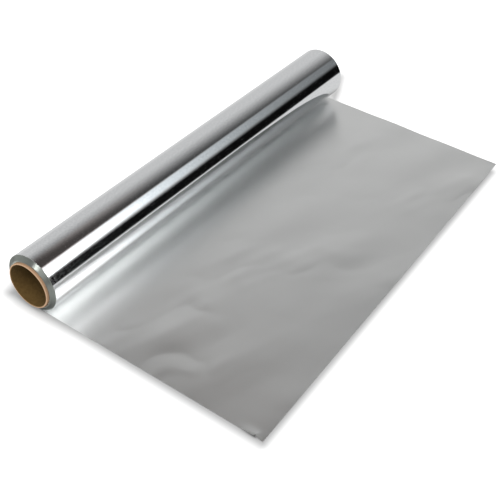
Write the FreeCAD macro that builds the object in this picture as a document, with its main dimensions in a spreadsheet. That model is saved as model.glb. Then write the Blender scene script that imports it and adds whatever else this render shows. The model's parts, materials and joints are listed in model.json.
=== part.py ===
import FreeCAD, Part
import math
import os
import Sketcher

# Kitchen foil on its paperboard tube, lying on a table with the free end of the web pulled out.
# X runs along the roll, the sheet lies towards -Y, and Z is up with the table at zero.
# The origin is under the middle of the whole thing.
# The end at -X is called near and the end at +X far. Distances are in millimetres.

doc = FreeCAD.newDocument("foil_roll")
sizes = doc.addObject("Spreadsheet::Sheet", "sizes")

driving_sizes = [
    ("foil_width", 300.0, "slit width of the web, the same for every turn"),
    ("web_thickness", 0.25, "the web, drawn thicker than real foil so that it has two faces"),
    ("flat_spot_depth", 0.1, "how far the roll's own weight flattens its underside"),
    ("core_bore", 27.6, "inside diameter of the tube"),
    ("core_wall", 1.0, "wall of the tube"),
    ("core_overhang", 1.7, "tube beyond the innermost turns, at each end"),
    ("core_edge_break", 0.25, "worn edges of the cut tube"),
    ("wound_build", 3.75, "thickness of the wound turns on the tube"),
    ("inner_slip", 1.9, "how far the innermost turns have slid out at the near end"),
    ("inner_band", 0.8, "thickness of the band of turns that slid furthest"),
    ("cone_slip", 1.5, "how far the turns beside that band have slid"),
    ("outer_band", 0.35, "thickness of the outer turns that haven't slid"),
    ("tail_near", 161.0, "pulled-out length along the near slit edge"),
    ("tail_far", 149.7, "pulled-out length along the far slit edge"),
    ("tail_flat", 14.0, "stretch beside the roll that lies dead flat"),
    ("buckle_height", 1.1, "highest soft buckle of the sheet"),
    ("buckle_pitch", 41.0, "from one ridge to the next"),
    ("buckle_length", 118.0, "along a ridge, from one crest to the next"),
    ("buckle_slant", 17.0, "angle in degrees between the ridges and the roll"),
    ("nick_from_cut", 5.4, "small tear in the near slit edge, from the cut end"),
    ("nick_width", 1.7, "mouth of the tear"),
    ("nick_depth", 2.0, "depth of the tear"),
    ("curl_length", 10.0, "stretch of slit edge beside the tear that has curled up"),
    ("curl_radius", 0.5, "the curl where it is tightest, beside the tear"),
]
for row, (alias, value, note) in enumerate(driving_sizes, start=1):
    sizes.set("A%d" % row, alias)
    sizes.set("B%d" % row, str(value))
    sizes.set("C%d" % row, note)
    sizes.setAlias("B%d" % row, alias)
doc.recompute()

# Lengths that follow from the driving sizes, written as expressions.
core_inner = "(sizes.core_bore / 2)"
core_outer = "(sizes.core_bore / 2 + sizes.core_wall)"
roll_radius = "(sizes.core_bore / 2 + sizes.core_wall + sizes.wound_build)"
axis_height = "(%s - sizes.flat_spot_depth)" % roll_radius
core_near = "(-sizes.inner_slip - sizes.core_overhang)"
core_far = "(sizes.foil_width - sizes.inner_slip + sizes.core_overhang)"
flat_half = "sqrt((%s) ^ 2 - (%s) ^ 2)" % (roll_radius, axis_height)
band_radius = "(%s + sizes.inner_band)" % core_outer
rim_radius = "(%s - sizes.outer_band)" % roll_radius

# Where the near slit edge and the roll's axis stand in the frame of the whole thing.
near_plane = "(-(min(%s; 0) + max(%s; sizes.foil_width)) / 2)" % (core_near, core_far)
axis_line = "((max(sizes.tail_near; sizes.tail_far) - %s) / 2)" % roll_radius


def size(alias):
    return float(getattr(sizes, alias))


def worked_out(expression):
    return float(sizes.evalExpression(expression))


def bind(thing, **expressions):
    for name, expression in expressions.items():
        thing.setExpression(name.replace("__", "."), expression)


def put(thing, left, out, up):
    bind(thing, Placement__Base__x=left, Placement__Base__y=out, Placement__Base__z=up)


def sketch_on(body, role, name):
    plane = [item for item in body.Origin.OriginFeatures if item.Role == role][0]
    sketch = body.newObject("Sketcher::SketchObject", name)
    sketch.AttachmentSupport = [(plane, "")]
    sketch.MapMode = "FlatFace"
    return sketch


def draw_profile(sketch, corners):
    # A closed outline of straight lines, whose corners are pairs of expressions.
    count = len(corners)
    points = [FreeCAD.Vector(worked_out(across), worked_out(out), 0) for across, out in corners]
    for i in range(count):
        sketch.addGeometry(Part.LineSegment(points[i], points[(i + 1) % count]), False)
    for i in range(count):
        sketch.addConstraint(Sketcher.Constraint("Coincident", i, 2, (i + 1) % count, 1))
    for i, (across, out) in enumerate(corners):
        place_point(sketch, i, 1, across, out)


def place_point(sketch, line, end, across, out):
    # Two dimensions from the sketch's origin, bound to their expressions.
    for kind, expression in (("DistanceX", across), ("DistanceY", out)):
        value = worked_out(expression)
        place = sketch.addConstraint(Sketcher.Constraint(kind, -1, 1, line, end, value))
        sketch.setExpression("Constraints[%d]" % place, expression)


def revolve(body, kind, name, sketch):
    feature = body.newObject(kind, name)
    feature.Profile = sketch
    feature.ReferenceAxis = (sketch, ["H_Axis"])
    feature.Angle = 360.0
    sketch.Visibility = False
    return feature


# The paperboard tube: its wall turned about the roll's axis, with its cut edges worn off.
def make_core():
    body = doc.addObject("PartDesign::Body", "core_tube")
    body.Label = "core_tube"
    wall = sketch_on(body, "XZ_Plane", "core_wall_profile")
    draw_profile(wall, [
        (core_near, core_inner),
        (core_far, core_inner),
        (core_far, core_outer),
        (core_near, core_outer),
    ])
    tube = revolve(body, "PartDesign::Revolution", "core_wall_turned", wall)
    doc.recompute()
    rims = [
        "Edge%d" % (i + 1)
        for i, edge in enumerate(tube.Shape.Edges)
        if edge.Curve.TypeId == "Part::GeomCircle"
    ]
    soft = body.newObject("PartDesign::Chamfer", "core_cut_edges")
    soft.Base = (tube, rims)
    bind(soft, Size="sizes.core_edge_break")
    put(body, near_plane, axis_line, axis_height)
    return body


# The section of the wound turns. The outermost turn closes in by one web on its way round, as two
# half circles: the back one about the axis, and the front one half a web higher and smaller.
def draw_wound_section(sketch):
    radius = worked_out(roll_radius)
    drop = worked_out(axis_height)
    half = worked_out(flat_half)
    web = size("web_thickness")
    middle = FreeCAD.Vector(0, 0, 0)
    raised = FreeCAD.Vector(0, web / 2, 0)
    outward = FreeCAD.Vector(0, 0, 1)
    top = math.pi / 2
    back = Part.ArcOfCircle(Part.Circle(middle, outward, radius), math.atan2(-drop, half), top)
    front = Part.ArcOfCircle(Part.Circle(raised, outward, radius - web / 2), top, top + math.pi)
    step = Part.LineSegment(FreeCAD.Vector(0, web - radius, 0), FreeCAD.Vector(0, -drop, 0))
    flat = Part.LineSegment(FreeCAD.Vector(0, -drop, 0), FreeCAD.Vector(half, -drop, 0))
    hole = Part.Circle(middle, outward, worked_out(core_outer))
    for piece in (back, front, step, flat, hole):
        sketch.addGeometry(piece, False)
    link = Sketcher.Constraint
    sketch.addConstraint([
        link("Coincident", 0, 3, -1, 1),
        link("Coincident", 4, 3, -1, 1),
        link("PointOnObject", 1, 3, -2),
        link("Coincident", 0, 2, 1, 1),
        link("PointOnObject", 0, 2, -2),
        link("Coincident", 1, 2, 2, 1),
        link("PointOnObject", 1, 2, -2),
        link("Coincident", 2, 2, 3, 1),
        link("Vertical", 2),
        link("Horizontal", 3),
        link("Coincident", 3, 2, 0, 1),
    ])
    for dimension, expression in (
        (link("Radius", 0, radius), roll_radius),
        (link("Radius", 4, hole.Radius), core_outer),
        (link("Radius", 1, radius - web / 2), "%s - sizes.web_thickness / 2" % roll_radius),
        (link("DistanceY", 3, 1, -1, 1, drop), axis_height),
    ):
        place = sketch.addConstraint(dimension)
        sketch.setExpression("Constraints[%d]" % place, expression)


# The turns at one end, as far as they have slid along the tube: the innermost band furthest, with a
# step to the next turns, which then fall back as a shallow cone to the outer ones.
def slid_turns(end_plane, inmost):
    return [
        (end_plane, inmost),
        ("%s - sizes.inner_slip" % end_plane, inmost),
        ("%s - sizes.inner_slip" % end_plane, band_radius),
        ("%s - sizes.cone_slip" % end_plane, band_radius),
        (end_plane, rim_radius),
    ]


# The wound turns: one padded section, the band that has slid out added at the near end, and the
# same hollow left at the far end, because every turn is as wide as the web.
def make_turns():
    body = doc.addObject("PartDesign::Body", "wound_turns")
    body.Label = "wound_turns"
    section = sketch_on(body, "YZ_Plane", "wound_section")
    draw_wound_section(section)
    pad = body.newObject("PartDesign::Pad", "wound_length")
    pad.Profile = section
    bind(pad, Length="sizes.foil_width")
    doc.recompute()
    near = sketch_on(body, "XZ_Plane", "near_turns_profile")
    draw_profile(near, slid_turns("0", core_outer))
    revolve(body, "PartDesign::Revolution", "near_turns", near)
    doc.recompute()
    far = sketch_on(body, "XZ_Plane", "far_turns_profile")
    draw_profile(far, slid_turns("sizes.foil_width", "(%s - sizes.core_wall / 2)" % core_outer))
    revolve(body, "PartDesign::Groove", "far_turns", far)
    put(body, near_plane, axis_line, axis_height)
    return body


# The flat strip of the web that passes under the roll.
def make_strip():
    strip = doc.addObject("Part::Box", "flat_strip")
    bind(
        strip,
        Length="sizes.foil_width",
        Width="sizes.tail_flat + %s / 2" % flat_half,
        Height="sizes.web_thickness",
    )
    put(strip, near_plane, "%s - sizes.tail_flat" % axis_line, "0")
    return strip


# Height of the sheet's underside at a distance along the roll and a distance out from its axis.
# Ridges run nearly along the roll, and each rises and dies away along its length.
def buckle(along, out):
    slant = math.radians(size("buckle_slant"))
    across_ridges = out * math.cos(slant) - along * math.sin(slant)
    along_ridge = along * math.cos(slant) + out * math.sin(slant)
    ridge = (1 - math.cos(2 * math.pi * across_ridges / size("buckle_pitch"))) / 2
    swell = (1 - math.cos(2 * math.pi * along_ridge / size("buckle_length"))) / 2
    rise = (out - size("tail_flat")) / size("buckle_pitch")
    settle = max(0.0, min(1.0, rise)) ** 2
    return size("buckle_height") * ridge * swell * settle


def tail_length(along):
    share = along / size("foil_width")
    return size("tail_near") * (1 - share) + size("tail_far") * share


# A smooth surface over a grid of control points. Its first three rows lie flat, so the sheet leaves
# the strip without a kink.
def buckled_face():
    degree = 3
    poles_per_pitch = 4
    columns = math.ceil(size("foil_width") / size("buckle_pitch") * poles_per_pitch)
    rows = math.ceil(size("tail_near") / size("buckle_pitch") * poles_per_pitch)
    poles = []
    for i in range(columns + 1):
        along = size("foil_width") * i / columns
        line = []
        for j in range(rows + 1):
            out = size("tail_flat") + (tail_length(along) - size("tail_flat")) * j / rows
            height = buckle(along, out) if j >= degree else 0.0
            line.append(FreeCAD.Vector(along, -out, height))
        poles.append(line)
    surface = Part.BSplineSurface()
    column_knots = list(range(columns - degree + 2))
    row_knots = list(range(rows - degree + 2))
    column_mults = [degree + 1] + [1] * (columns - degree) + [degree + 1]
    row_mults = [degree + 1] + [1] * (rows - degree) + [degree + 1]
    surface.buildFromPolesMultsKnots(
        poles, column_mults, row_mults, column_knots, row_knots, False, False, degree, degree
    )
    return surface.toShape()


# The curl beside the tear: the slit edge rolls up into a slim cone that widens towards the tear.
def curled_edge(tear_out):
    tight = size("curl_radius")
    loose = tight / 4
    height = buckle(0, tear_out) + size("web_thickness")
    start = FreeCAD.Vector(tight, -tear_out, height)
    return Part.makeCone(tight, loose, size("curl_length"), start, FreeCAD.Vector(0, 1, 0))


# The pulled-out sheet: the buckled surface given the web's thickness, with a small tear in its near
# slit edge and the curl beside it.
def make_tail():
    up = FreeCAD.Vector(0, 0, 1)
    sheet = buckled_face().extrude(up * size("web_thickness"))
    tear_out = size("tail_near") - size("nick_from_cut")
    clear = size("buckle_height") + size("curl_radius") * 2
    mouth = size("nick_width") / 2
    outline = Part.makePolygon([
        FreeCAD.Vector(-mouth, -tear_out - mouth * 2, -clear),
        FreeCAD.Vector(-mouth, -tear_out + mouth * 2, -clear),
        FreeCAD.Vector(size("nick_depth"), -tear_out, -clear),
        FreeCAD.Vector(-mouth, -tear_out - mouth * 2, -clear),
    ])
    tear = Part.Face(outline).extrude(up * clear * 3)
    tail = doc.addObject("Part::Feature", "pulled_out_sheet")
    tail.Shape = sheet.fuse(curled_edge(tear_out)).cut(tear)
    put(tail, near_plane, axis_line, "0")
    return tail


# The web is one piece from its innermost turn to its cut end.
def make_web():
    web = doc.addObject("Part::MultiFuse", "foil_web")
    web.Label = "foil_web"
    web.Shapes = [make_turns(), make_strip(), make_tail()]
    web.Refine = True
    return web


def check(part_objects):
    for thing in doc.Objects:
        if "Invalid" in thing.State or "Error" in thing.State:
            raise RuntimeError("%s failed to build: %s" % (thing.Name, thing.State))
    for thing in part_objects:
        shape = thing.Shape
        if shape.isNull() or not shape.isValid() or len(shape.Solids) != 1:
            raise RuntimeError("%s isn't one sound solid" % thing.Label)


def main():
    parts = [make_core(), make_web()]
    doc.recompute()
    check(parts)
    os.makedirs("parts", exist_ok=True)
    for thing in parts:
        thing.Shape.exportStep("parts/%s.step" % thing.Label)
        box = thing.Shape.BoundBox
        print(thing.Label, "volume", round(thing.Shape.Volume), "mm3")
        print("  x", round(box.XMin, 3), round(box.XMax, 3))
        print("  y", round(box.YMin, 3), round(box.YMax, 3))
        print("  z", round(box.ZMin, 3), round(box.ZMax, 3))


main()
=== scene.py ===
import json
import math

import bpy
import numpy as np
from mathutils import Matrix, Vector


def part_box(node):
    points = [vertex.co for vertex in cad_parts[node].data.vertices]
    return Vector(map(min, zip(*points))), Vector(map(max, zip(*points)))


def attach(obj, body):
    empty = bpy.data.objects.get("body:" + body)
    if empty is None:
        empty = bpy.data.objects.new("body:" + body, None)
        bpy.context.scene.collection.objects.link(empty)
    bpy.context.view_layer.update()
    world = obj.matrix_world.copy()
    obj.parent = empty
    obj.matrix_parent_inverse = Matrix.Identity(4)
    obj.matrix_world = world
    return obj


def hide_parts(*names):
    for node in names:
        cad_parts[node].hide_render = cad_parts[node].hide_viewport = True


# Kitchen foil on its paperboard tube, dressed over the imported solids.
# Lengths are in metres. X runs along the roll, the sheet lies towards -Y, and Z is up.
# The roll's end at -X is called near and the end at +X far.
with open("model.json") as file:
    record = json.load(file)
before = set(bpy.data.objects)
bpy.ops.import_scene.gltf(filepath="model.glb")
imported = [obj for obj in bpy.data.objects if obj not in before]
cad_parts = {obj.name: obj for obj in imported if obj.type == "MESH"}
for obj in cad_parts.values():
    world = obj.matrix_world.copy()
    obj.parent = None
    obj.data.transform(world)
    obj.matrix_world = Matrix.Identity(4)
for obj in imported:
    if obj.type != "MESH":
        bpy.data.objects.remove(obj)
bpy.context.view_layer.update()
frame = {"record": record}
mm = 0.001

coreLow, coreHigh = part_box("core_tube")
webLow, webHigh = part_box("foil_web")
bore = [mount for mount in frame["record"]["mounts"] if mount["name"] == "core_bore"][0]

roll = {
    "width": 300 * mm,  # slit width of the web, the same for every turn
    "y": bore["pos_m"][1],
    "z": bore["pos_m"][2],
    "far": webHigh.x,
    "coreRadius": (coreHigh.z - coreLow.z) / 2,
}
roll["near"] = roll["far"] - roll["width"]
roll["radius"] = webHigh.z - roll["z"]
print("frame read, roll radius", round(roll["radius"] / mm, 2), "mm")


def smooth(low, high, value):
    # Climbs from 0 at low to 1 at high, level at both ends.
    share = np.clip((value - low) / (high - low), 0, 1)
    return share * share * (3 - 2 * share)


def waves(across, along, seed, longest, shortest, count):
    # The sum of straight sine waves in random directions, each as high as it is long.
    # The result stays between -1 and 1.
    draw = np.random.default_rng(seed)
    total, reach = 0, 0
    for i in range(count):
        length = longest * (shortest / longest) ** (i / max(1, count - 1))
        angle, phase = draw.uniform(0, math.pi), draw.uniform(0, 2 * math.pi)
        run = across * math.cos(angle) + along * math.sin(angle)
        total = total + length * np.sin(2 * math.pi * run / length + phase)
        reach += length
    return total / reach


def gridMesh(name, points, uv, closedRows=False, closedColumns=False, faceKind=None):
    # Four-sided faces over a grid of points, which may close on itself in rows, columns or both.
    # uv has one more row or column than points where the grid closes.
    rows, columns = points.shape[:2]
    i = np.arange(rows if closedRows else rows - 1)[:, None]
    j = np.arange(columns if closedColumns else columns - 1)[None, :]
    corners = [(i, j), (i, j + 1), (i + 1, j + 1), (i + 1, j)]
    faces = np.stack([(a % rows) * columns + b % columns for a, b in corners], -1).reshape(-1, 4)
    mesh = bpy.data.meshes.new(name)
    mesh.from_pydata(points.reshape(-1, 3).tolist(), [], faces.tolist())
    layer = mesh.uv_layers.new(name="web")
    places = np.stack([uv[a, b] for a, b in corners], -2).reshape(-1)
    layer.data.foreach_set("uv", places.astype(np.float32))
    mesh.polygons.foreach_set("use_smooth", np.ones(len(faces), bool))
    if faceKind is not None:
        kinds = np.broadcast_to(faceKind, (len(i), j.shape[1])).astype(np.int32)
        mesh.polygons.foreach_set("material_index", kinds.ravel())
    piece = bpy.data.objects.new(name, mesh)
    bpy.context.scene.collection.objects.link(piece)
    return piece


def setColours(piece, name, colours):
    # Gives each vertex of a grid its red, green and blue, under the given name.
    layer = piece.data.color_attributes.new(name, "FLOAT_COLOR", "POINT")
    opaque = np.ones(colours.shape[:-1] + (1,))
    layer.data.foreach_set("color", np.concatenate([colours, opaque], -1).ravel())


def linear(hexColour):
    # An sRGB hex colour as linear red, green, blue and alpha.
    parts = [int(hexColour[i : i + 2], 16) / 255 for i in (0, 2, 4)]
    return [c / 12.92 if c <= 0.04045 else ((c + 0.055) / 1.055) ** 2.4 for c in parts] + [1]


def addNode(tree, kind, settings, inputs):
    # Adds a node. An input given as another node's output is linked, any other is set.
    node = tree.nodes.new(kind)
    for name, value in settings.items():
        setattr(node, name, value)
    for name, value in inputs.items():
        if isinstance(value, bpy.types.NodeSocket):
            tree.links.new(value, node.inputs[name])
        else:
            node.inputs[name].default_value = value
    return node


def emptyMaterial(name):
    # A material whose node tree is empty, and that tree.
    material = bpy.data.materials.new(name)
    material.use_nodes = True
    material.node_tree.nodes.clear()
    return material, material.node_tree


# Camera, fitted to the outlines in the photograph.
view = {
    "place": Vector((-412.61, -257.677, 394.884)) * mm,
    "azimuth": math.radians(-55.617),
    "elevation": math.radians(40.499),
    "tilt": math.radians(2.496),
    "lens": 70.216,
    "sensor": 36,
}


def addCamera():
    # Back points from the scene to the camera. Right and up are turned about it by the tilt.
    side, lift = view["azimuth"], view["elevation"]
    back = Vector(
        (math.sin(side) * math.cos(lift), -math.cos(side) * math.cos(lift), math.sin(lift))
    )
    right = Vector((0, 0, 1)).cross(back).normalized()
    up = back.cross(right)
    turn = Matrix.Rotation(view["tilt"], 3, back)
    columns = (turn @ right, turn @ up, back)
    placed = Matrix(columns).transposed().to_4x4()
    placed.translation = view["place"]
    data = bpy.data.cameras.new("camera")
    data.lens = view["lens"]
    data.sensor_width = view["sensor"]
    camera = bpy.data.objects.new("camera", data)
    camera.matrix_world = placed
    bpy.context.scene.collection.objects.link(camera)
    bpy.context.scene.camera = camera


addCamera()

# The wound turns: one closed ring whose turns have slid out a little at the near end.
turns = {
    "build": roll["radius"] - roll["coreRadius"],  # all the turns together
    "drawn": 36,  # drawn coarser than the real 240 turns, so that single edges show
    "outerBand": 0.35 * mm,  # the outer turns that haven't slid
    "innerBand": 0.8 * mm,  # the inner turns that slid out most, as one
    "coneSlip": 1.5 * mm,
    "innerSlip": roll["near"] - webLow.x,
    "stray": 0.05 * mm,  # how far a turn's edge wanders in or out
    "strayWaves": {"seed": 4, "longest": 60, "shortest": 6, "count": 9},
    "strayCircle": 30,  # radius of the circle on which those waves are read
    "strayNext": 7.3,  # from one turn's place in the waves to the next one's
    "around": 360,
    "step": 10 * mm,  # along the roll, where the outer face is straight
    "rimRound": 0.12 * mm,
    "spiralShift": 0.125 * mm,  # the front half's centre is this much higher, one turn starts there
}


def ringRadius(angle):
    # The outer turn as two half circles: the front one is smaller and its centre is higher,
    # so both meet at the top and the web's end comes in under the roll.
    front = np.cos(angle) > 0
    shift = np.where(front, turns["spiralShift"], 0)
    radius = roll["radius"] - shift
    rise = np.sin(angle)
    return shift * rise + np.sqrt(radius**2 - (shift * np.cos(angle)) ** 2)


def slideOut(depth):
    # How far the turns stick out at a depth below the outer face: none, then a cone, then a band.
    cone = turns["build"] - turns["outerBand"] - turns["innerBand"]
    share = np.clip((depth - turns["outerBand"]) / cone, 0, 1)
    return np.where(share < 1, turns["coneSlip"] * share, turns["innerSlip"])


def faceMarks(marks):
    # 1 for each face between two marked columns, and for the closing face after a marked column.
    return np.append(marks[1:] * marks[:-1], marks[-1])


def makeTurns():
    # A profile of places along the roll and depths below the outer face, carried round the axis.
    # Each end is a stair with one tread for every drawn turn.
    near, far, rim = roll["near"], roll["far"], turns["rimRound"]
    along = np.linspace(near + rim, far - rim, round(roll["width"] / turns["step"]) + 1)
    along = np.concatenate([[near], along, [far]])
    edges = np.linspace(0, turns["build"], turns["drawn"] + 1)
    stair = np.repeat(edges, 2)[1:-1]
    middle = np.repeat((edges[1:] + edges[:-1]) / 2, 2)
    slid = slideOut(middle)
    place = np.concatenate([along, far - slid, along[::-1], near - slid[::-1]])
    depth = np.concatenate([0 * along, stair, 0 * along + turns["build"], stair[::-1]])
    ends = np.concatenate([0 * along, 1 + 0 * stair, 0 * along, 1 + 0 * stair])
    inner = depth >= turns["build"]
    slip = turns["innerSlip"]
    place[inner] = np.clip(place[inner], near - slip, far - slip)

    # Points at one depth wander together, so a riser keeps its height.
    angle = np.linspace(0, 2 * np.pi, turns["around"], endpoint=False)[:, None] - np.pi / 2
    core = roll["coreRadius"]
    radius = core + (ringRadius(angle) - core) * (1 - depth / turns["build"])
    turnNumber = np.round(depth / turns["build"] * turns["drawn"]) - 1
    across = np.cos(angle) * turns["strayCircle"] + turnNumber * turns["strayNext"]
    wander = waves(across, np.sin(angle) * turns["strayCircle"], **turns["strayWaves"])
    x = place + turns["stray"] * ends * wander
    y = roll["y"] - radius * np.cos(angle)
    z = roll["z"] + radius * np.sin(angle)
    points = np.stack(np.broadcast_arrays(x, y, z), -1)
    # The flat spot lies on the sheet.
    points[..., 2] = np.maximum(points[..., 2], sheet["thickness"])

    turned = np.linspace(0, 2 * np.pi, turns["around"] + 1)[:, None] * roll["radius"]
    run = np.append(place + depth, place[0] - turns["build"])
    uv = np.stack(np.broadcast_arrays(run, turned), -1)
    return gridMesh("wound_turns", points, uv, True, True, faceMarks(ends))


# The pulled-out sheet, flat on the table but for long low buckles and fine creases.
sheet = {
    "thickness": 0.06 * mm,  # four times the real foil, so that its edge shows
    "tuck": 2.2 * mm,  # runs back under the roll to where the turns lift off the table
    "nearLength": 161.0 * mm,
    "farLength": 149.7 * mm,
    "flat": 14 * mm,  # lies flat beside the roll
    "buckleHeight": 0.35 * mm,
    "bucklePitch": 41 * mm,
    "buckleLength": 118 * mm,
    "buckleSlant": math.radians(17),
    "fineHeight": 0.05 * mm,
    "fineWaves": {"seed": 8, "longest": 46 * mm, "shortest": 9 * mm, "count": 14},
    "creaseHeight": 0.68 * mm,
    "creaseSlant": math.radians(24),
    "creaseAspect": 0.55,  # width of a patch between creases, by its length
    "creaseWaves": {"seed": 21, "longest": 65 * mm, "shortest": 10 * mm, "count": 12},
    "creaseLeast": 0.35,  # share of the height left where the sheet is least creased
    "creaseZones": {"seed": 33, "longest": 120 * mm, "shortest": 40 * mm, "count": 6},
    "zoneRange": (-0.1, 0.25),  # of the zones' waves, from least creased to most
    "step": 1.25 * mm,
    "edgeStep": 0.2 * mm,
    "edgeBand": 3 * mm,
    "tearOut": 155.6 * mm,
    "tearWidth": 1.7 * mm,
    "tearDepth": 1.4 * mm,
    "tearRows": 31,  # extra rows of the grid beside the tear
    "liftLength": 13 * mm,  # the slit edge stands up a little over this length before the tear
    "liftHeight": 0.45 * mm,
    "liftDrop": 5 * mm,  # comes down again over this length beyond the tear
    "liftSpread": 6 * mm,  # from the raised edge in to the flat sheet
}


def sheetLength(along):
    # How far the sheet is pulled out, at a distance along the roll from the near slit edge.
    return sheet["nearLength"] + (sheet["farLength"] - sheet["nearLength"]) * along / roll["width"]


def turnedAxes(along, out, slant):
    # The distance out and the distance along, both turned by the slant.
    across = out * math.cos(slant) - along * math.sin(slant)
    return across, along * math.cos(slant) + out * math.sin(slant)


def buckle(along, out):
    # Slanted ridges times a slower swell along them, with fine waves and creases added, all
    # fading in from the flat strip by the roll.
    across, lengthwise = turnedAxes(along, out, sheet["buckleSlant"])
    ridge = (1 - np.cos(2 * np.pi * across / sheet["bucklePitch"])) / 2
    swell = (1 - np.cos(2 * np.pi * lengthwise / sheet["buckleLength"])) / 2
    settle = np.clip((out - sheet["flat"]) / sheet["bucklePitch"], 0, 1) ** 2
    fine = (1 + waves(along, out, **sheet["fineWaves"])) / 2
    # Creases part nearly flat patches, longer than they are wide: waves folded up at zero.
    down, side = turnedAxes(along, out, sheet["creaseSlant"])
    zones = smooth(*sheet["zoneRange"], waves(along, out, **sheet["creaseZones"]))
    folded = abs(waves(side * sheet["creaseAspect"], down, **sheet["creaseWaves"]))
    crease = (sheet["creaseLeast"] + (1 - sheet["creaseLeast"]) * zones) * folded
    height = sheet["buckleHeight"] * ridge * swell + sheet["fineHeight"] * fine
    return settle * (height + sheet["creaseHeight"] * crease)


def makeSheet():
    # A grid over the slit width and the length pulled out. Close to the near slit edge the
    # columns are dense, so that the edge can stand up a little and be notched by the tear.
    band = np.arange(0, sheet["edgeBand"], sheet["edgeStep"])
    rest = roll["width"] - sheet["edgeBand"]
    rest = sheet["edgeBand"] + np.linspace(0, rest, round(rest / sheet["step"]) + 1)
    along = np.concatenate([band, rest])[None, :]
    longest = sheet["nearLength"] + sheet["tuck"]
    share = np.linspace(0, 1, round(longest / sheet["step"]) + 1)
    spread = np.linspace(-1, 1, sheet["tearRows"]) * sheet["tearWidth"] / sheet["nearLength"]
    dense = (sheet["tearOut"] + sheet["tuck"]) / longest + spread
    share = np.unique(np.concatenate([share, dense]))[:, None]
    out = -sheet["tuck"] + share * (sheetLength(along) + sheet["tuck"])

    height = buckle(along, out)
    notch = np.clip(1 - abs(out - sheet["tearOut"]) / (sheet["tearWidth"] / 2), 0, 1)
    hold = np.clip(1 - along / sheet["edgeBand"], 0, 1)
    x = along + notch * sheet["tearDepth"] * hold

    # The slit edge stands up more and more towards the tear, and comes down again beyond it.
    before = sheet["tearOut"] - out
    lifted = smooth(sheet["liftLength"], 0, before) * smooth(-sheet["liftDrop"], 0, before)
    height = height + sheet["liftHeight"] * lifted * smooth(sheet["liftSpread"], 0, along)

    y = roll["y"] - out + 0 * x
    points = np.stack([roll["near"] + x, y, height + sheet["thickness"]], -1)
    uv = np.stack(np.broadcast_arrays(roll["near"] + along, out), -1)
    # The rows are turned round so that the faces point up.
    piece = gridMesh("pulled_out_sheet", points[::-1], uv[::-1])
    thicken = piece.modifiers.new("thickness", "SOLIDIFY")
    thicken.thickness = sheet["thickness"]
    thicken.offset = -1
    thicken.material_offset = 1
    split = piece.modifiers.new("crisp edges", "EDGE_SPLIT")
    split.split_angle = math.radians(60)
    split.use_edge_sharp = False
    return piece


# The paperboard tube, wound from plies, open at both ends.
tube = {
    "bore": bore["dims"]["r_mm"] * mm,
    "edgeBreak": 0.25 * mm,
    "rimStray": 0.1 * mm,  # how far the worn rims wander
    "rimWaves": {"seed": 11, "longest": 30, "shortest": 2.5, "count": 10},
    "rimCircle": 16,  # radius of the circle on which those waves are read
    "rimNext": 3 / mm,  # moves through the waves with the radius
    "plies": 3,
    "around": 240,
    "step": 3 * mm,
    "seamPitch": 62 * mm,
    "seamStep": 0.12 * mm,
    "seamRise": 0.03,  # share of a turn over which the overlap steps up
    "seamFade": 0.45,  # share of a turn from which it sinks again
    "sharpAngle": math.radians(35),
}


def makeTube():
    # A profile round the wall, carried round the axis. The rims wander a little where they wore,
    # and in the bore the inner ply's overlap climbs as a helix.
    outerRadius, innerRadius, edge = roll["coreRadius"], tube["bore"], tube["edgeBreak"]
    near, far = coreLow.x, coreHigh.x
    along = np.linspace(near + edge, far - edge, round((far - near) / tube["step"]) + 1)
    wall = np.linspace(0, 1, tube["plies"] * 2 + 1)
    rimRadius = outerRadius - edge + (innerRadius - outerRadius + 2 * edge) * wall
    place = np.concatenate([along, far + 0 * wall, along[::-1], near + 0 * wall])
    radius = [outerRadius + 0 * along, rimRadius, innerRadius + 0 * along, rimRadius[::-1]]
    radius = np.concatenate(radius)
    run = np.concatenate([[0], np.cumsum(np.hypot(np.diff(place), np.diff(radius)))])
    rim = np.concatenate([0 * along, 1 + 0 * wall, 0 * along, 1 + 0 * wall])
    inside = np.concatenate([0 * along, 0 * wall, 1 + 0 * along, 0 * wall])

    angle = np.linspace(0, 2 * np.pi, tube["around"], endpoint=False)[:, None] - np.pi / 2
    across = np.cos(angle) * tube["rimCircle"] + radius * tube["rimNext"]
    wander = waves(across, np.sin(angle) * tube["rimCircle"], **tube["rimWaves"])
    x = place - np.sign(place) * rim * tube["rimStray"] * (0.5 + 0.5 * wander)
    helix = (place / tube["seamPitch"] + angle / (2 * np.pi)) % 1
    overlap = smooth(0, tube["seamRise"], helix) * (1 - smooth(tube["seamFade"], 1, helix))
    radius = radius - inside * tube["seamStep"] * overlap
    y = roll["y"] - radius * np.cos(angle)
    z = roll["z"] + radius * np.sin(angle)
    points = np.stack(np.broadcast_arrays(x, y, z), -1)
    turned = np.linspace(0, 2 * np.pi, tube["around"] + 1)[:, None] * outerRadius
    uv = np.stack(np.broadcast_arrays(np.append(run, run[-1] + edge), turned), -1)
    # Faces outside are of kind 0, on the rims 1 and in the bore 2.
    kind = np.where(faceMarks(rim) > 0, 1, 2 * inside)
    piece = gridMesh("paperboard_tube", points, uv, True, True, kind)
    piece.data.set_sharp_from_angle(angle=tube["sharpAngle"])
    return piece


woundTurns = makeTurns()
print("turns made,", len(woundTurns.data.polygons), "faces")
pulledOutSheet = makeSheet()
print("sheet made,", len(pulledOutSheet.data.polygons), "faces on top")
paperboardTube = makeTube()
print("tube made,", len(paperboardTube.data.polygons), "faces")

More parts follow.
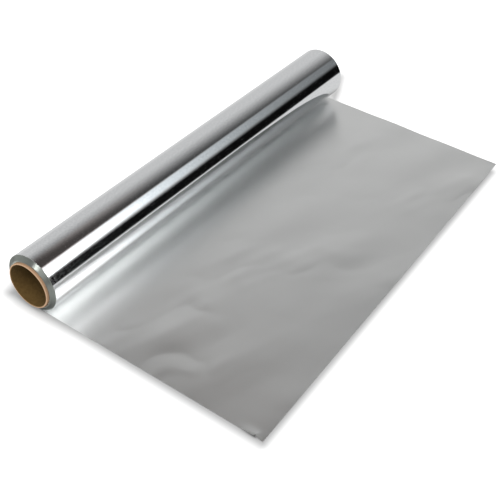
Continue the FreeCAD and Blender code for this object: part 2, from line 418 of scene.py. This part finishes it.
# Sizes of the patterns on the foil. Real rolling lines and pits are finer than the render can
# show, so they are drawn as coarse as they need to be seen.
brightSide = {
    "lineWidth": 0.7 * mm,
    "lineLength": 18 * mm,
    "lineDepth": 0.006 * mm,
    "smoothest": 0.05,
    "roughest": 0.13,
    "dent": 14 * mm,
    "dentDepth": 0.1 * mm,
    "pit": 1.1 * mm,
    "pitDepth": 0.012 * mm,
    "pitColour": "ECEEF0",
    "colour": "FAFBFC",
}
dullSide = {
    "lineWidth": 0.9 * mm,
    "lineLength": 30 * mm,
    "lineDepth": 0.01 * mm,
    "smoothest": 0.29,
    "roughest": 0.33,
    "patch": 30 * mm,
    "colour": "F1F2F1",
}
edgeFace = {
    "ringWidth": 0.05 * mm,
    "ringLength": 9 * mm,
    "dark": "7C817C",
    "pale": "B4B9B3",
    "roughness": 0.33,
}


def brightFoil():
    # Cold-rolled aluminium foil, the side that ran against the polished mill roll: a mirror
    # with fine rolling lines along the web, which spread a reflection across them, wide shallow
    # dents and fine pits.
    look = brightSide
    material, tree = emptyMaterial("aluminium foil, bright side")
    web = addNode(tree, "ShaderNodeUVMap", {"uv_map": "web"}, {})
    lines = addNode(
        tree,
        "ShaderNodeMapping",
        {},
        {"Vector": web.outputs[0], "Scale": (1 / look["lineWidth"], 1 / look["lineLength"], 1)},
    )
    grain = addNode(
        tree, "ShaderNodeTexNoise", {}, {"Vector": lines.outputs[0], "Scale": 1, "Detail": 3}
    )
    dented = addNode(
        tree,
        "ShaderNodeTexNoise",
        {},
        {"Vector": web.outputs[0], "Scale": 1 / look["dent"], "Detail": 2},
    )
    rough = addNode(
        tree,
        "ShaderNodeMapRange",
        {},
        {
            "Value": grain.outputs[0],
            "From Min": 0.3,
            "From Max": 0.7,
            "To Min": look["smoothest"],
            "To Max": look["roughest"],
        },
    )
    pressed = addNode(
        tree,
        "ShaderNodeBump",
        {},
        {"Height": dented.outputs[0], "Strength": 0.25, "Distance": look["dentDepth"]},
    )
    pitted = addNode(
        tree,
        "ShaderNodeTexNoise",
        {},
        {"Vector": web.outputs[0], "Scale": 1 / look["pit"], "Detail": 1},
    )
    mottle = addNode(
        tree,
        "ShaderNodeMapRange",
        {},
        {"Value": pitted.outputs[0], "From Min": 0.3, "From Max": 0.7},
    )
    tone = addNode(
        tree,
        "ShaderNodeMix",
        {"data_type": "RGBA"},
        {0: mottle.outputs[0], 6: linear(look["pitColour"]), 7: linear(look["colour"])},
    )
    pits = addNode(
        tree,
        "ShaderNodeBump",
        {},
        {
            "Height": pitted.outputs[0],
            "Normal": pressed.outputs[0],
            "Strength": 0.3,
            "Distance": look["pitDepth"],
        },
    )
    bump = addNode(
        tree,
        "ShaderNodeBump",
        {},
        {
            "Height": grain.outputs[0],
            "Normal": pits.outputs[0],
            "Strength": 0.25,
            "Distance": look["lineDepth"],
        },
    )
    tangent = addNode(
        tree, "ShaderNodeTangent", {"direction_type": "UV_MAP", "uv_map": "web"}, {}
    )
    foil = addNode(
        tree,
        "ShaderNodeBsdfPrincipled",
        {},
        {
            "Base Color": tone.outputs[2],
            "Metallic": 1,
            "Roughness": rough.outputs[0],
            "Anisotropic": 0.5,
            "Tangent": tangent.outputs[0],
            "Normal": bump.outputs[0],
        },
    )
    addNode(tree, "ShaderNodeOutputMaterial", {}, {"Surface": foil.outputs[0]})
    return material


def dullFoil():
    # The side rolled against its twin foil: as pale a metal, but satin, with a soft pack-rolled
    # grain and rolling lines that barely show. Fine ripples left from the winding run along the
    # roll, so a reflection spreads more across them, along the web.
    look = dullSide
    material, tree = emptyMaterial("aluminium foil, satin side")
    web = addNode(tree, "ShaderNodeUVMap", {"uv_map": "web"}, {})
    lines = addNode(
        tree,
        "ShaderNodeMapping",
        {},
        {"Vector": web.outputs[0], "Scale": (1 / look["lineWidth"], 1 / look["lineLength"], 1)},
    )
    grain = addNode(
        tree, "ShaderNodeTexNoise", {}, {"Vector": lines.outputs[0], "Scale": 1, "Detail": 3}
    )
    patches = addNode(
        tree,
        "ShaderNodeTexNoise",
        {},
        {"Vector": web.outputs[0], "Scale": 1 / look["patch"], "Detail": 3},
    )
    rough = addNode(
        tree,
        "ShaderNodeMapRange",
        {},
        {
            "Value": patches.outputs[0],
            "From Min": 0.3,
            "From Max": 0.7,
            "To Min": look["smoothest"],
            "To Max": look["roughest"],
        },
    )
    bump = addNode(
        tree,
        "ShaderNodeBump",
        {},
        {"Height": grain.outputs[0], "Strength": 0.2, "Distance": look["lineDepth"]},
    )
    tangent = addNode(
        tree, "ShaderNodeTangent", {"direction_type": "UV_MAP", "uv_map": "web"}, {}
    )
    foil = addNode(
        tree,
        "ShaderNodeBsdfPrincipled",
        {},
        {
            "Base Color": linear(look["colour"]),
            "Metallic": 1,
            "Roughness": rough.outputs[0],
            "Anisotropic": 0.5,
            "Anisotropic Rotation": 0.25,
            "Tangent": tangent.outputs[0],
            "Normal": bump.outputs[0],
        },
    )
    addNode(tree, "ShaderNodeOutputMaterial", {}, {"Surface": foil.outputs[0]})
    return material


def slitEdges():
    # The slit edges of many turns side by side: grey metal with fine concentric lines.
    look = edgeFace
    material, tree = emptyMaterial("slit foil edges")
    web = addNode(tree, "ShaderNodeUVMap", {"uv_map": "web"}, {})
    rings = addNode(
        tree,
        "ShaderNodeMapping",
        {},
        {"Vector": web.outputs[0], "Scale": (1 / look["ringWidth"], 1 / look["ringLength"], 1)},
    )
    grain = addNode(
        tree, "ShaderNodeTexNoise", {}, {"Vector": rings.outputs[0], "Scale": 1, "Detail": 2}
    )
    tone = addNode(
        tree,
        "ShaderNodeMix",
        {"data_type": "RGBA"},
        {0: grain.outputs[0], 6: linear(look["dark"]), 7: linear(look["pale"])},
    )
    tangent = addNode(
        tree, "ShaderNodeTangent", {"direction_type": "UV_MAP", "uv_map": "web"}, {}
    )
    foil = addNode(
        tree,
        "ShaderNodeBsdfPrincipled",
        {},
        {
            "Base Color": tone.outputs[2],
            "Metallic": 1,
            "Roughness": look["roughness"],
            "Anisotropic": 0.8,
            "Tangent": tangent.outputs[0],
        },
    )
    addNode(tree, "ShaderNodeOutputMaterial", {}, {"Surface": foil.outputs[0]})
    return material


def kraftBoard(name, pale, dark, grainLength):
    # Grey-brown kraft paperboard: matte, with short fibres and a faint mottle.
    material, tree = emptyMaterial(name)
    place = addNode(tree, "ShaderNodeTexCoord", {}, {})
    fibre = addNode(
        tree,
        "ShaderNodeTexNoise",
        {},
        {
            "Vector": place.outputs["Object"],
            "Scale": 1 / grainLength,
            "Detail": 6,
            "Roughness": 0.6,
        },
    )
    tone = addNode(
        tree,
        "ShaderNodeMix",
        {"data_type": "RGBA"},
        {0: fibre.outputs[0], 6: linear(dark), 7: linear(pale)},
    )
    bump = addNode(
        tree,
        "ShaderNodeBump",
        {},
        {"Height": fibre.outputs[0], "Strength": 0.5, "Distance": 0.1 * mm},
    )
    board = addNode(
        tree,
        "ShaderNodeBsdfPrincipled",
        {},
        {
            "Base Color": tone.outputs[2],
            "Roughness": 0.85,
            "Specular IOR Level": 0.25,
            "Normal": bump.outputs[0],
        },
    )
    addNode(tree, "ShaderNodeOutputMaterial", {}, {"Surface": board.outputs[0]})
    return material


bright, dull, edges = brightFoil(), dullFoil(), slitEdges()
boards = [
    kraftBoard("kraft paperboard", "B9977A", "8C6C52", 0.7 * mm),
    kraftBoard("cut edge of paperboard", "CBAA8C", "9C7C60", 0.5 * mm),
    # The bore's board is a copy of the outside board drawn much darker: its dark colours are
    # painted shade for the dim bore.
    kraftBoard("kraft paperboard inside", "745C36", "46351B", 1.5 * mm),
]
for piece, materials in (
    (woundTurns, [bright, edges]),
    (pulledOutSheet, [dull, bright]),
    (paperboardTube, boards),
):
    for material in materials:
        piece.data.materials.append(material)
    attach(piece, "root")
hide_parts("foil_web")
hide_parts("foil_web")
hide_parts("core_tube")
print("materials set")

# The studio: a pale table, even light from all round, and a tent that only reflections see.
studio = {
    "tentRadius": 0.8,
    "tentNear": -1.2,
    "tentFar": 2.4,
    "tentColumns": 113,
    "tentTurns": (-20, 200),  # degrees round the roll, from below its front to below its back
    "tentRows": 441,
    "evenLight": 0.5,  # on the table and the tube, from all round
    "pastTent": 0.6,  # what the foil mirrors where it looks past the tent
}

# Brightness of the tent. Turns are degrees round the roll, places are metres along it, and a
# share is 0 at the place that the roll's near end mirrors and 1 at the one that its far end does.
# Falls are what a turn loses from share 0 to share 1.
glow = {
    "nearPlace": 0.29,
    "span": 0.755,
    "mostShare": 1.3,
    "dark": 0.003,
    # The soft box in front, brightest near and halfway down at its half share.
    "boxLow": (24, 42),
    "boxTop": 69.5,
    "boxTopFall": 5,
    "boxTopSoft": 4,
    "boxLeast": 0.12,
    "boxMore": 1.1,
    "boxHalf": 0.42,
    "boxPower": 3,
    # The wall behind, which starts dark over the box.
    "wallLeast": 0.05,
    "wallMore": 0.52,
    "wallGain": 0.02,
    "wallLow": 100,
    "wallLowFall": 46,
    "wallLowPower": 0.45,
    "wallHigh": 150,
    "wallHighFall": 22,
    "wallStart": 50,
    # The bright panel at the left end.
    "leftLevel": 3.4,
    "leftEnd": 0.23,
    "leftEndMore": 0.25,
    "leftEndTurns": (24, 44),
    "leftSoft": 0.12,
    "leftTop": (63, 51),
    "leftStart": (-0.6, 0.1),
    # The box is a little cooler along the roll, and the dark gap a little browner near.
    "coolShare": 0.35,
    "coolRed": 0.06,
    "coolBlue": 0.03,
    "brownShare": 0.4,
    "brownLow": (66, 72),
    "brownHigh": (95, 125),
    "brownRed": 0.14,
    "brownBlue": 0.05,
}


def tentGlow(turn, x):
    # Colour of the tent by the angle round the roll, from the front over the top to the back,
    # and the place along it: dark low in front, a soft box that fades and cools along the roll
    # and is strongest at its left end, a dark gap over it, then a wall that is lit evenly.
    share = np.clip((x - glow["nearPlace"]) / glow["span"], 0, glow["mostShare"])
    fade = 1 + (share / glow["boxHalf"]) ** glow["boxPower"]
    box = glow["boxLeast"] + glow["boxMore"] / fade
    top = glow["boxTop"] - glow["boxTopFall"] * share
    soft = glow["boxTopSoft"]
    inBox = smooth(*glow["boxLow"], turn) * (1 - smooth(top - soft, top + soft, turn))
    wallLow = glow["wallLow"] - glow["wallLowFall"] * share ** glow["wallLowPower"]
    wallHigh = glow["wallHigh"] - glow["wallHighFall"] * share
    wall = (glow["wallMore"] + glow["wallGain"] * share) * smooth(wallLow, wallHigh, turn)
    behind = (turn > glow["wallStart"]) * (1 - inBox) * (glow["wallLeast"] + wall)
    leftEnd = glow["leftEnd"] + glow["leftEndMore"] * smooth(*glow["leftEndTurns"], turn)
    left = smooth(leftEnd, leftEnd - glow["leftSoft"], x)
    left = left * smooth(*glow["leftTop"], turn) * smooth(*glow["leftStart"], x)
    level = glow["dark"] + inBox * box * (1 - left) + behind + glow["leftLevel"] * left
    cool = inBox * smooth(0, glow["coolShare"], share)
    brown = smooth(*glow["brownLow"], turn) * (1 - smooth(*glow["brownHigh"], turn))
    brown = smooth(glow["brownShare"], 0, share) * brown
    red = level * (1 - glow["coolRed"] * cool + glow["brownRed"] * brown)
    blue = level * (1 + glow["coolBlue"] * cool - glow["brownBlue"] * brown)
    return np.stack([red, level, blue], -1)


def makeTent():
    # Part of a round tunnel about the roll's axis.
    turn = np.linspace(*studio["tentTurns"], studio["tentRows"])[:, None]
    x = np.linspace(studio["tentNear"], studio["tentFar"], studio["tentColumns"])[None, :]
    angle = np.radians(turn)
    y = roll["y"] - studio["tentRadius"] * np.cos(angle)
    z = roll["z"] + studio["tentRadius"] * np.sin(angle)
    points = np.stack(np.broadcast_arrays(x, y, z), -1)
    uv = np.stack(np.broadcast_arrays(x, turn), -1)
    tent = gridMesh("tent", points, uv)
    setColours(tent, "glow", tentGlow(turn, x))
    material, tree = emptyMaterial("tent cloth, lit")
    colour = addNode(tree, "ShaderNodeAttribute", {"attribute_name": "glow"}, {})
    light = addNode(tree, "ShaderNodeEmission", {}, {"Color": colour.outputs["Color"]})
    addNode(tree, "ShaderNodeOutputMaterial", {}, {"Surface": light.outputs[0]})
    material.cycles.emission_sampling = "NONE"
    tent.data.materials.append(material)
    for ray in ("camera", "diffuse", "transmission", "volume_scatter", "shadow"):
        setattr(tent, "visible_" + ray, False)


# The table's white paper. Its shades are painted, and each takes its depth off the paper's tone.
paper = {
    "size": 4.0,
    "tone": 0.93,
    "below": 0.02 * mm,  # under the sheet, so that the two don't flicker
    "fineReach": 0.2,
    "fineStep": 1.5 * mm,
    "tearReach": 3 * mm,
    "tearLines": 21,
    # Right beside the sheet and the roll's near end, fading with the gap. A gap counts for more
    # beyond the cut edge and for less beyond the roll.
    "shade": 0.64,
    "shadeReach": 7.5 * mm,
    "shadePower": 1.5,
    "cutWeight": 1.3,
    "rollWeight": 0.8,
    "farInset": 12 * mm,
    # Under the raised slit edge.
    "liftShade": 0.22,
    "liftReach": 1 * mm,
    "liftInset": 0.5 * mm,
    "liftFade": 5 * mm,
    # Behind the far end, along a line that passes this far beyond it and leans this much.
    "farShade": 0.46,
    "farPast": 34 * mm,
    "farLean": math.radians(67.3),
    "farReach": 5.5 * mm,
    "farPower": 1.3,
    "farStart": (-14 * mm, 4 * mm),
    "farStop": (52 * mm, 34 * mm),
    # As the foil mirrors it, up to the paper's end in front of the roll.
    "end": -0.46,
    "endSoft": 0.08,
    "endSkew": -0.9,
    "mirrored": 0.73,
    "mirroredPast": 0.01,
    "ownLight": 0.5,  # keeps the paper white to the camera
}


def floorLines(centre):
    # Places of the floor's grid lines: wide apart at its edges, close together under the roll
    # and the sheet, and closest at the tear.
    half = paper["size"] / 2
    close = np.arange(-paper["fineReach"], paper["fineReach"], paper["fineStep"])
    tear = centre + np.linspace(-1, 1, paper["tearLines"]) * paper["tearReach"]
    return np.sort(np.concatenate([[-half, half], close, tear]))


def edgeShade(x, y):
    # Fades with the distance beyond the near slit edge, the cut edge and the roll's back.
    across = x - roll["near"]
    beyondCut = np.maximum(roll["y"] - y - sheetLength(across), 0) * paper["cutWeight"]
    beyondRoll = np.maximum(y - roll["y"] - roll["radius"], 0) * paper["rollWeight"]
    beyondFar = np.maximum(x - roll["far"] + paper["farInset"], 0)
    gap = np.sqrt(np.maximum(-across, 0) ** 2 + beyondCut**2 + beyondRoll**2 + beyondFar**2)
    return paper["shade"] * np.exp(-((gap / paper["shadeReach"]) ** paper["shadePower"]))


def liftShade(x, y, tear):
    # A streak along the slit edge from the tear towards the roll, a bell across its line. It
    # weakens all the way, and faster over its second half.
    past = np.clip(y - tear.y, 0, sheet["liftLength"]) / sheet["liftLength"]
    off = np.minimum(y - tear.y, 0) + paper["liftFade"] * smooth(0.5, 1, past)
    spot = np.hypot(x - tear.x, off) / paper["liftReach"]
    return paper["liftShade"] * (1 - past) * np.exp(-(spot**2))


def farShade(x, y):
    # The roll's far end throws a soft shade along a line on the paper behind it.
    ahead, aside = x - roll["far"] - paper["farPast"], y - roll["y"]
    level, rise = math.cos(paper["farLean"]), math.sin(paper["farLean"])
    beyond = level * ahead - rise * aside
    run = -rise * ahead - level * aside
    window = smooth(*paper["farStart"], run) * smooth(*paper["farStop"], run)
    fade = (abs(beyond) / paper["farReach"]) ** paper["farPower"]
    return paper["farShade"] * window * np.exp(-fade)


def paperMaterial():
    # Matte white paper. It glows a little to the camera, and reflections see it as lit evenly
    # up to its end, whose line is skewed to the roll.
    material, tree = emptyMaterial("white paper")
    path = addNode(tree, "ShaderNodeLightPath", {}, {})
    place = addNode(tree, "ShaderNodeTexCoord", {}, {})
    split = addNode(tree, "ShaderNodeSeparateXYZ", {}, {0: place.outputs["Object"]})
    skewed = addNode(
        tree,
        "ShaderNodeMath",
        {"operation": "MULTIPLY"},
        {0: split.outputs["X"], 1: paper["endSkew"]},
    )
    ahead = addNode(
        tree,
        "ShaderNodeMath",
        {"operation": "ADD"},
        {0: split.outputs["Y"], 1: skewed.outputs[0]},
    )
    strength = addNode(
        tree,
        "ShaderNodeMapRange",
        {},
        {
            "Value": ahead.outputs[0],
            "From Min": paper["end"] - paper["endSoft"],
            "From Max": paper["end"] + paper["endSoft"],
            "To Min": paper["mirroredPast"],
            "To Max": paper["mirrored"],
        },
    )
    shade = addNode(tree, "ShaderNodeAttribute", {"attribute_name": "shade"}, {})
    tone = shade.outputs["Color"]
    plain = addNode(tree, "ShaderNodeBsdfDiffuse", {}, {"Color": tone})
    lit = addNode(
        tree, "ShaderNodeEmission", {}, {"Color": tone, "Strength": paper["ownLight"]}
    )
    seen = addNode(tree, "ShaderNodeAddShader", {}, {0: plain.outputs[0], 1: lit.outputs[0]})
    mirrored = addNode(
        tree, "ShaderNodeEmission", {}, {"Color": tone, "Strength": strength.outputs[0]}
    )
    direct = addNode(
        tree,
        "ShaderNodeMixShader",
        {},
        {0: path.outputs["Is Camera Ray"], 1: plain.outputs[0], 2: seen.outputs[0]},
    )
    surface = addNode(
        tree,
        "ShaderNodeMixShader",
        {},
        {0: path.outputs["Is Glossy Ray"], 1: direct.outputs[0], 2: mirrored.outputs[0]},
    )
    addNode(tree, "ShaderNodeOutputMaterial", {}, {"Surface": surface.outputs[0]})
    material.cycles.emission_sampling = "NONE"
    return material


def makeFloor():
    # A flat grid, whose shades are kept in its vertices.
    tear = Vector((roll["near"] + paper["liftInset"], roll["y"] - sheet["tearOut"]))
    y, x = np.meshgrid(floorLines(tear.y), floorLines(tear.x), indexing="ij")
    points = np.stack([x, y, 0 * x - paper["below"]], -1)
    floor = gridMesh("floor", points, np.stack([x, y], -1))
    shade = paper["tone"] - edgeShade(x, y) - liftShade(x, y, tear) - farShade(x, y)
    setColours(floor, "shade", np.stack([shade, shade, shade], -1))
    floor.data.materials.append(paperMaterial())


def lightWorld():
    # White behind everything, even light on it, and dim where the foil looks past the tent.
    world = bpy.data.worlds.new("studio")
    world.use_nodes = True
    tree = world.node_tree
    tree.nodes.clear()
    path = addNode(tree, "ShaderNodeLightPath", {}, {})
    even = addNode(tree, "ShaderNodeBackground", {}, {"Strength": studio["evenLight"]})
    dim = addNode(tree, "ShaderNodeBackground", {}, {"Strength": studio["pastTent"]})
    white = addNode(tree, "ShaderNodeBackground", {}, {"Color": (1, 1, 1, 1), "Strength": 1})
    light = addNode(
        tree,
        "ShaderNodeMixShader",
        {},
        {0: path.outputs["Is Glossy Ray"], 1: even.outputs[0], 2: dim.outputs[0]},
    )
    whole = addNode(
        tree,
        "ShaderNodeMixShader",
        {},
        {0: path.outputs["Is Camera Ray"], 1: light.outputs[0], 2: white.outputs[0]},
    )
    addNode(tree, "ShaderNodeOutputWorld", {}, {"Surface": whole.outputs[0]})
    bpy.context.scene.world = world


# Powers are in watts.
lamps = [
    {"place": Vector((0.7, 0.4, 0.9)), "power": 4, "width": 0.8, "mirrored": False},
    {"place": Vector((-0.6, -0.4, 1.1)), "power": 12, "width": 0.7, "mirrored": False},
    # A small one for the slit edges at the roll's near end, which mirror it.
    {"place": Vector((-1.345, 0.3, 0.42)), "power": 5, "width": 0.21, "mirrored": True},
]


def addLamp(settings):
    # A square lamp that points at the origin.
    data = bpy.data.lights.new("soft lamp", "AREA")
    data.energy = settings["power"]
    data.size = settings["width"]
    lamp = bpy.data.objects.new("soft lamp", data)
    lamp.location = settings["place"]
    lamp.rotation_euler = (-settings["place"]).to_track_quat("-Z", "Y").to_euler()
    lamp.visible_glossy = settings["mirrored"]
    bpy.context.scene.collection.objects.link(lamp)


makeTent()
makeFloor()
lightWorld()
for lamp in lamps:
    addLamp(lamp)
bpy.context.scene.view_settings.view_transform = "Standard"
print("studio set")
